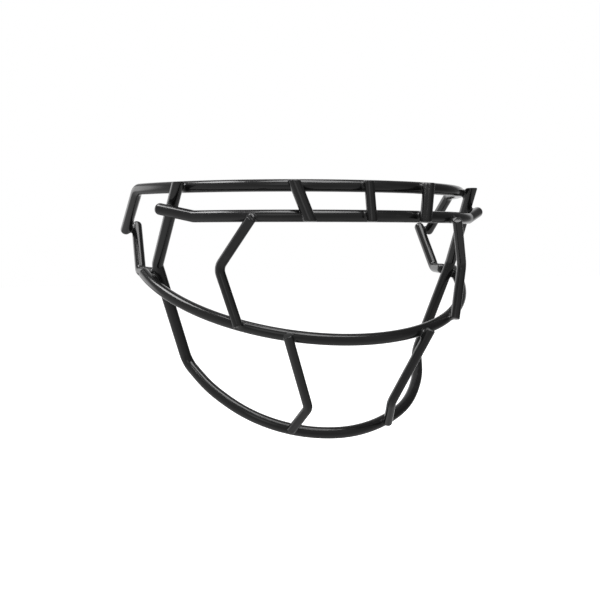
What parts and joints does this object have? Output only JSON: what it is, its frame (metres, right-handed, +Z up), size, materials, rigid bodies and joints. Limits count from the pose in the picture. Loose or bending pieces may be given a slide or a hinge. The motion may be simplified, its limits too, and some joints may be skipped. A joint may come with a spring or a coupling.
{
  "type": "football helmet face guard",
  "caption": "Wire cage face guard for an American football helmet: bent, coated steel wires welded where they cross, to guard the eyes, nose and jaw.",
  "frame": {"origin": "centre of the bounding box of the whole guard", "axes": "+Z up, -Y to the front, away from the wearer's face, +X to the wearer's left; the YZ plane is the plane of symmetry"},
  "size_m": [0.2532, 0.1686, 0.1686],
  "materials": {
    "coating": "gloss black dip coating over steel wire",
    "weld_coating": "gloss black dip coating over weld metal, slightly rougher"
  },
  "bodies": {
    "root": {"upper_brow_bar": "coating", "lower_brow_bar": "coating", "main_bar": "coating", "chin_loop": "coating", "centre_brow_strut": "coating", "left_temple_hook": "coating", "left_eye_guard": "coating", "left_brow_strut": "coating", "left_chin_strut": "coating", "right_temple_hook": "coating", "right_eye_guard": "coating", "right_brow_strut": "coating", "right_chin_strut": "coating", "weld_chin_loop_left_chin_strut": "weld_coating", "weld_chin_loop_right_chin_strut": "weld_coating", "weld_lower_brow_bar_centre_brow_strut": "weld_coating", "weld_lower_brow_bar_left_brow_strut": "weld_coating", "weld_lower_brow_bar_left_chin_loop": "weld_coating", "weld_lower_brow_bar_left_eye_guard": "weld_coating", "weld_lower_brow_bar_right_brow_strut": "weld_coating", "weld_lower_brow_bar_right_chin_loop": "weld_coating", "weld_lower_brow_bar_right_eye_guard": "weld_coating", "weld_main_bar_left_chin_loop": "weld_coating", "weld_main_bar_left_chin_strut": "weld_coating", "weld_main_bar_left_eye_guard": "weld_coating", "weld_main_bar_left_temple_hook": "weld_coating", "weld_main_bar_right_chin_loop": "weld_coating", "weld_main_bar_right_chin_strut": "weld_coating", "weld_main_bar_right_eye_guard": "weld_coating", "weld_main_bar_right_temple_hook": "weld_coating", "weld_upper_brow_bar_centre_brow_strut": "weld_coating", "weld_upper_brow_bar_left_brow_strut": "weld_coating", "weld_upper_brow_bar_left_chin_loop": "weld_coating", "weld_upper_brow_bar_left_temple_hook": "weld_coating", "weld_upper_brow_bar_right_brow_strut": "weld_coating", "weld_upper_brow_bar_right_chin_loop": "weld_coating", "weld_upper_brow_bar_right_temple_hook": "weld_coating"}
  },
  "joints": []
}
